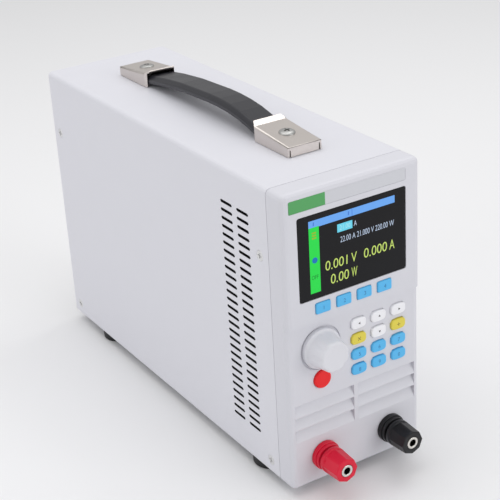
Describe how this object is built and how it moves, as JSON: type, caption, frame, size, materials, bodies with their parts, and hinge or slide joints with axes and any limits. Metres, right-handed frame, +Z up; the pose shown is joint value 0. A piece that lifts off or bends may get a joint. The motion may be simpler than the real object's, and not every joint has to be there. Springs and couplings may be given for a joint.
{
  "type": "programmable dc electronic load",
  "caption": "Slim upright bench instrument with colour display, keypad, turning knob, louvred front, screw-cap binding posts, vented sheet cover, rubber feet and carrying strap.",
  "frame": {"origin": "on the table, below the middle of the instrument's overall box", "axes": "+Z up, -Y out of the front panel, +X to the right seen from the front"},
  "size_m": [0.0832, 0.2816, 0.1848],
  "materials": {
    "white_key": "satin",
    "plated_steel": "zinc plated",
    "black_post": "glossy",
    "nickel": "bright nickel plate",
    "board_green": "solder mask",
    "display_metal": "tinned",
    "window_acrylic": "glossy black",
    "yellow_key": "satin",
    "black_plastic": "satin",
    "foot_rubber": "matt",
    "bezel_plastic": "fine spark-eroded texture",
    "satin_steel": "satin",
    "strap_rubber": "matt",
    "aluminium": "extruded",
    "knob_plastic": "satin",
    "blue_key": "satin",
    "red_button": "glossy",
    "case_paint": "fine matt powder coat",
    "red_post": "glossy"
  },
  "bodies": {
    "case": {"base_chassis": "plated_steel", "black_post_base": "black_post", "black_post_stud": "nickel", "case_screw_1": "plated_steel", "case_screw_2": "plated_steel", "case_screw_3": "plated_steel", "case_screw_4": "plated_steel", "case_screw_5": "plated_steel", "case_screw_6": "plated_steel", "case_screw_7": "plated_steel", "case_screw_8": "plated_steel", "control_board": "board_green", "display_module": "display_metal", "display_window": "window_acrylic", "encoder_body": "display_metal", "fan_frame": "black_plastic", "fan_guard": "nickel", "foot_front_left": "foot_rubber", "foot_front_right": "foot_rubber", "foot_rear_left": "foot_rubber", "foot_rear_right": "foot_rubber", "front_bezel": "bezel_plastic", "handle_cap_front": "satin_steel", "handle_cap_rear": "satin_steel", "handle_screw_front": "plated_steel", "handle_screw_rear": "plated_steel", "heat_sink": "aluminium", "inlet_socket": "black_plastic", "power_board": "board_green", "power_switch": "black_plastic", "rear_panel": "case_paint", "red_post_base": "red_post", "red_post_stud": "nickel", "top_cover": "case_paint"},
    "knob_and_shaft": {"knob": "knob_plastic", "encoder_shaft": "nickel"},
    "power_button": {"power_button": "red_button"},
    "red_washer": {"red_post_washer": "nickel"},
    "red_cap": {"red_post_cap": "red_post"},
    "black_washer": {"black_post_washer": "nickel"},
    "black_cap": {"black_post_cap": "black_post"},
    "strap": {"handle_strap": "strap_rubber"},
    "rotor": {"fan_rotor": "black_plastic"},
    "drawer": {"fuse_drawer": "black_plastic"},
    "soft_key_1": {"soft_key_1": "blue_key"},
    "soft_key_2": {"soft_key_2": "blue_key"},
    "soft_key_3": {"soft_key_3": "blue_key"},
    "soft_key_4": {"soft_key_4": "blue_key"},
    "arrow_left_key": {"arrow_left_key": "white_key"},
    "arrow_up_key": {"arrow_up_key": "white_key"},
    "arrow_right_key": {"arrow_right_key": "white_key"},
    "shift_key": {"shift_key": "yellow_key"},
    "arrow_down_key": {"arrow_down_key": "white_key"},
    "enter_key": {"enter_key": "yellow_key"},
    "mode_key_1": {"mode_key_1": "blue_key"},
    "mode_key_2": {"mode_key_2": "blue_key"},
    "mode_key_3": {"mode_key_3": "blue_key"},
    "mode_key_4": {"mode_key_4": "blue_key"},
    "mode_key_5": {"mode_key_5": "blue_key"},
    "mode_key_6": {"mode_key_6": "blue_key"}
  },
  "joints": [
    {"name": "soft_key_1_press", "type": "slide", "parent": "case", "child": "soft_key_1", "axis": [0, 1, 0], "range_m": [0, 0.0008], "stiffness_N_per_m": 1500, "springref_m": -0.0003},
    {"name": "soft_key_2_press", "type": "slide", "parent": "case", "child": "soft_key_2", "axis": [0, 1, 0], "range_m": [0, 0.0008], "stiffness_N_per_m": 1500, "springref_m": -0.0003},
    {"name": "soft_key_3_press", "type": "slide", "parent": "case", "child": "soft_key_3", "axis": [0, 1, 0], "range_m": [0, 0.0008], "stiffness_N_per_m": 1500, "springref_m": -0.0003},
    {"name": "soft_key_4_press", "type": "slide", "parent": "case", "child": "soft_key_4", "axis": [0, 1, 0], "range_m": [0, 0.0008], "stiffness_N_per_m": 1500, "springref_m": -0.0003},
    {"name": "arrow_left_key_press", "type": "slide", "parent": "case", "child": "arrow_left_key", "axis": [0, 1, 0], "range_m": [0, 0.0008], "stiffness_N_per_m": 1500, "springref_m": -0.0003},
    {"name": "arrow_up_key_press", "type": "slide", "parent": "case", "child": "arrow_up_key", "axis": [0, 1, 0], "range_m": [0, 0.0008], "stiffness_N_per_m": 1500, "springref_m": -0.0003},
    {"name": "arrow_right_key_press", "type": "slide", "parent": "case", "child": "arrow_right_key", "axis": [0, 1, 0], "range_m": [0, 0.0008], "stiffness_N_per_m": 1500, "springref_m": -0.0003},
    {"name": "shift_key_press", "type": "slide", "parent": "case", "child": "shift_key", "axis": [0, 1, 0], "range_m": [0, 0.0008], "stiffness_N_per_m": 1500, "springref_m": -0.0003},
    {"name": "arrow_down_key_press", "type": "slide", "parent": "case", "child": "arrow_down_key", "axis": [0, 1, 0], "range_m": [0, 0.0008], "stiffness_N_per_m": 1500, "springref_m": -0.0003},
    {"name": "enter_key_press", "type": "slide", "parent": "case", "child": "enter_key", "axis": [0, 1, 0], "range_m": [0, 0.0008], "stiffness_N_per_m": 1500, "springref_m": -0.0003},
    {"name": "mode_key_1_press", "type": "slide", "parent": "case", "child": "mode_key_1", "axis": [0, 1, 0], "range_m": [0, 0.0008], "stiffness_N_per_m": 1500, "springref_m": -0.0003},
    {"name": "mode_key_2_press", "type": "slide", "parent": "case", "child": "mode_key_2", "axis": [0, 1, 0], "range_m": [0, 0.0008], "stiffness_N_per_m": 1500, "springref_m": -0.0003},
    {"name": "mode_key_3_press", "type": "slide", "parent": "case", "child": "mode_key_3", "axis": [0, 1, 0], "range_m": [0, 0.0008], "stiffness_N_per_m": 1500, "springref_m": -0.0003},
    {"name": "mode_key_4_press", "type": "slide", "parent": "case", "child": "mode_key_4", "axis": [0, 1, 0], "range_m": [0, 0.0008], "stiffness_N_per_m": 1500, "springref_m": -0.0003},
    {"name": "mode_key_5_press", "type": "slide", "parent": "case", "child": "mode_key_5", "axis": [0, 1, 0], "range_m": [0, 0.0008], "stiffness_N_per_m": 1500, "springref_m": -0.0003},
    {"name": "mode_key_6_press", "type": "slide", "parent": "case", "child": "mode_key_6", "axis": [0, 1, 0], "range_m": [0, 0.0008], "stiffness_N_per_m": 1500, "springref_m": -0.0003},
    {"name": "power_press", "type": "slide", "parent": "case", "child": "power_button", "axis": [0, 1, 0], "range_m": [-0.0025, 0.0004]},
    {"name": "knob_turn", "type": "hinge", "parent": "case", "child": "knob_and_shaft", "pos_m": [-0.02122, -0.1205, 0.0844], "axis": [0, 1, 0], "continuous": true},
    {"name": "red_washer_slide", "type": "slide", "parent": "case", "child": "red_washer", "axis": [0, -1, 0], "range_m": [0, 0.004]},
    {"name": "red_cap_turn", "type": "hinge", "parent": "red_washer", "child": "red_cap", "pos_m": [-0.02134, -0.1408, 0.021], "axis": [0, -1, 0], "range_deg": [0, 1442.88]},
    {"name": "black_washer_slide", "type": "slide", "parent": "case", "child": "black_washer", "axis": [0, -1, 0], "range_m": [0, 0.004]},
    {"name": "black_cap_turn", "type": "hinge", "parent": "black_washer", "child": "black_cap", "pos_m": [0.02134, -0.1408, 0.021], "axis": [0, -1, 0], "range_deg": [0, 1442.88]},
    {"name": "strap_lift", "type": "slide", "parent": "case", "child": "strap", "axis": [0, 0, 1], "range_m": [0, 0.0007]},
    {"name": "fan_spin", "type": "hinge", "parent": "case", "child": "rotor", "pos_m": [0, 0.1356, 0.1254], "axis": [0, 1, 0], "continuous": true},
    {"name": "drawer_pull", "type": "slide", "parent": "case", "child": "drawer", "axis": [0, 1, 0], "range_m": [0, 0.018]}
  ],
  "couplings": [
    {"joint": "red_cap_turn", "follows": "red_washer_slide", "rad_per_m": 6283.2},
    {"joint": "black_cap_turn", "follows": "black_washer_slide", "rad_per_m": 6283.2}
  ]
}
